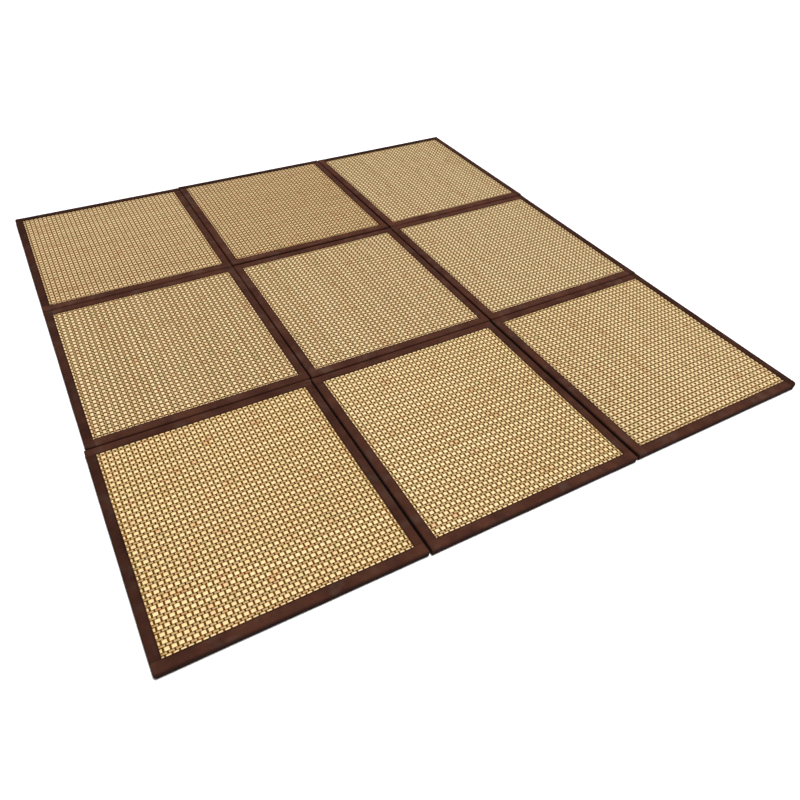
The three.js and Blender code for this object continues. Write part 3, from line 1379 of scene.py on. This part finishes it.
@dataclass
class Panel:
    """One panel of the mat: its weave, its four strips of binding and its pad."""

    place: PanelPlace
    finishes: Finishes
    dice: np.random.Generator
    weave: WovenFace = field(default_factory=WovenFace)
    binding: Binding = field(default_factory=Binding)
    felt: FeltPad = field(default_factory=FeltPad)
    wear: WearAndShade = field(default_factory=WearAndShade)

    def __post_init__(self) -> None:
        """Reads where the panel lies."""
        self.frame = PanelFrame.of(self.place)

    def fitted(
        self, surface: Surface, name: str, node: str, slot: str, *materials: bpy.types.Material
    ) -> bpy.types.Object:
        """Puts a surface of the panel's own frame in its place, in the room of a node.

        Args:
            surface: The piece's surface.
            name: The piece's own name, after the panel's.
            node: The node's own name, after the panel's.
            slot: The record's material slot; it is not used.
            *materials: The finishes.

        Returns:
            The piece.
        """
        surface.points = self.frame.placed(surface.points)
        made = surface.piece(f"{self.place.name}_{name}", list(materials))
        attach(made, BODY)
        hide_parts(f"{self.place.name}_{node}")
        LOG.info("%s: %d faces", made.name, len(made.data.polygons))
        return made

    def make_pad(self) -> bpy.types.Object:
        """Makes the felt pad.

        Returns:
            The pad.
        """
        _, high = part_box(f"{self.place.name}_pad")
        radii = [self.place.radius(own) for own in Corner]
        surface = self.felt.surface(high[2], radii, self.dice)
        made = self.fitted(surface, "felt_pad", "pad", "pad_cloth", self.finishes.felt)
        return made

    def make_weave(self) -> bpy.types.Object:
        """Makes the woven face.


        Returns:
            The woven face.
        """
        weave = self.weave
        _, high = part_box(f"{self.place.name}_woven_face")
        middle_height = high[2] - weave.cord_lift - weave.cord_thickness / 2
        surface = weave.surface(
            middle_height, self.frame.sheet_half, self.place.ripeness, self.dice
        )
        sunned = self.wear.sunned(self.frame)
        surface.values["sunned"] = np.full((len(surface.points), 1), sunned)
        made = self.fitted(
            surface,
            "rattan_weave",
            "woven_face",
            "woven_rattan",
            self.finishes.rattan,
            self.finishes.bast,
        )
        return made

    def make_strips(self) -> list[bpy.types.Object]:
        """Makes the four strips of binding, each turned to its side of the panel.


        Returns:
            The strips.
        """
        binding = self.binding
        radius = self.place.radius
        back = binding.long_path(radius(Corner.LEFT_BACK), radius(Corner.RIGHT_BACK))
        front = binding.long_path(radius(Corner.RIGHT_FRONT), radius(Corner.LEFT_FRONT))
        short = binding.short_path()
        paths = {Side.RIGHT: short, Side.BACK: back, Side.LEFT: short, Side.FRONT: front}
        strips = []
        for side, path in paths.items():
            facing = side.turned(self.place.wefts.value)
            faded = self.wear.fading(self.frame, facing, self.dice)
            surface = binding.surface(path, faded, self.dice)
            if side in (Side.FRONT, Side.LEFT):
                surface.points = surface.points * (-1, -1, 1)
            faced = facing.name.lower()
            made = self.fitted(
                surface,
                f"cotton_edge_{faced}",
                f"binding_{faced}",
                "binding_cloth",
                self.finishes.cotton,
            )
            flat = (binding.cut_width(), float(path.distance[-1]))
            strips.append(made)
        return strips

    def make(self) -> None:
        """Makes every piece of the panel."""
        pad = self.make_pad()
        self.make_weave()
        self.make_strips()


# The studio


@dataclass(frozen=True)
class Studio:
    """A plain pale floor, soft light from above and a camera above the front left corner."""

    floor_size: float = 60.0
    floor_paint: str = "f4f4f4"
    zenith: float = 0.65
    horizon: float = 0.3
    camera_place: tuple[float, float, float] = (-0.8579, -1.4593, 1.2013)
    camera_azimuth: float = 28.28
    camera_elevation: float = -44.59
    camera_roll: float = 2.07
    lens: float = 29.09
    shift: float = 0.0856
    light_strength: float = 3.3
    light_spread: float = 8.0  # its width in degrees, which softens its shadows
    light_azimuth: float = 50.0  # in degrees from the back towards the right
    light_elevation: float = 80.0

    def make_floor(self) -> None:
        """A wide square floor just under the mat."""
        half = self.floor_size / 2
        below = -0.1 * MM
        plan = ((-half, -half), (half, -half), (half, half), (-half, half))
        corners = [(x, y, below) for x, y in plan]
        mesh = bpy.data.meshes.new("floor")
        mesh.from_pydata(corners, [], [(0, 1, 2, 3)])
        material, tree = new_material("matt_floor_paint")
        paint = {"Base Color": linear(self.floor_paint), "Roughness": 1.0}
        shader = add_node(tree, "BsdfPrincipled", paint)
        add_node(tree, "OutputMaterial", {0: shader})
        mesh.materials.append(material)
        floor = bpy.data.objects.new("floor", mesh)
        bpy.context.scene.collection.objects.link(floor)

    def make_light(self) -> None:
        """A wide distant light from high above."""
        data = bpy.data.lights.new("ceiling_light", "SUN")
        data.energy = self.light_strength
        data.angle = math.radians(self.light_spread)
        light = bpy.data.objects.new("ceiling_light", data)
        shining = -self.way(self.light_azimuth, self.light_elevation)
        light.matrix_world = self.aimed(shining, 0.0).to_4x4()
        bpy.context.scene.collection.objects.link(light)

    @staticmethod
    def way(azimuth: float, elevation: float) -> np.ndarray:
        """The way from the middle of the mat to a point on the sky.

        Args:
            azimuth: The point's bearing, in degrees from the back towards the right.
            elevation: Its height, in degrees.

        Returns:
            The way, as a unit vector.
        """
        around, up = math.radians(azimuth), math.radians(elevation)
        flat = math.cos(up)
        return np.array([math.sin(around) * flat, math.cos(around) * flat, math.sin(up)])

    @staticmethod
    def aimed(forward: np.ndarray, roll: float) -> Matrix:
        """The turn that points an object's own -Z along a way.

        Args:
            forward: The way, as a unit vector.
            roll: How far the object is rolled about it, in degrees.

        Returns:
            The turn as a matrix, with the object's own axes as its columns.
        """
        level = np.cross(forward, (0.0, 0.0, 1.0))
        level /= np.linalg.norm(level)
        upright = np.cross(level, forward)
        cosine, sine = math.cos(math.radians(roll)), math.sin(math.radians(roll))
        right = cosine * level + sine * upright
        above = cosine * upright - sine * level
        return Matrix(np.stack([right, above, -forward], axis=-1).tolist())

    def make_camera(self) -> None:
        """The camera, with its own azimuth, elevation and roll."""
        data = bpy.data.cameras.new("camera")
        data.lens = self.lens
        data.shift_x = self.shift
        camera = bpy.data.objects.new("camera", data)
        forward = self.way(self.camera_azimuth, self.camera_elevation)
        turn = self.aimed(forward, self.camera_roll).to_4x4()
        camera.matrix_world = Matrix.Translation(self.camera_place) @ turn
        bpy.context.scene.collection.objects.link(camera)
        bpy.context.scene.camera = camera

    def make_sky(self) -> None:
        """A white sky that grows brighter with its height."""
        world = bpy.data.worlds.new("sky")
        world.use_nodes = True
        tree = world.node_tree
        tree.nodes.clear()
        way = add_node(tree, "TexCoord", output="Generated")
        height = add_node(tree, "SeparateXYZ", {0: way}, 2)
        strength = add_node(tree, "MapRange", {0: height, 3: self.horizon, 4: self.zenith})
        sky = add_node(tree, "Background", {0: linear("ffffff"), 1: strength})
        add_node(tree, "OutputWorld", {0: sky})
        bpy.context.scene.world = world

    def make(self) -> None:
        """Makes the camera, the floor and the lights, with plain colours in the picture."""
        self.make_camera()
        self.make_floor()
        self.make_sky()
        self.make_light()
        bpy.context.scene.view_settings.view_transform = "Standard"


def main() -> None:
    """Builds the studio and then the mat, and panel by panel."""
    logging.basicConfig(level=logging.INFO, format="%(name)s: %(message)s")
    Studio().make()
    finishes = Finishes.made()
    dice = np.random.default_rng(SEED)
    for place in PANELS:
        Panel(place, finishes, dice).make()


if __name__ == "__main__":
    main()
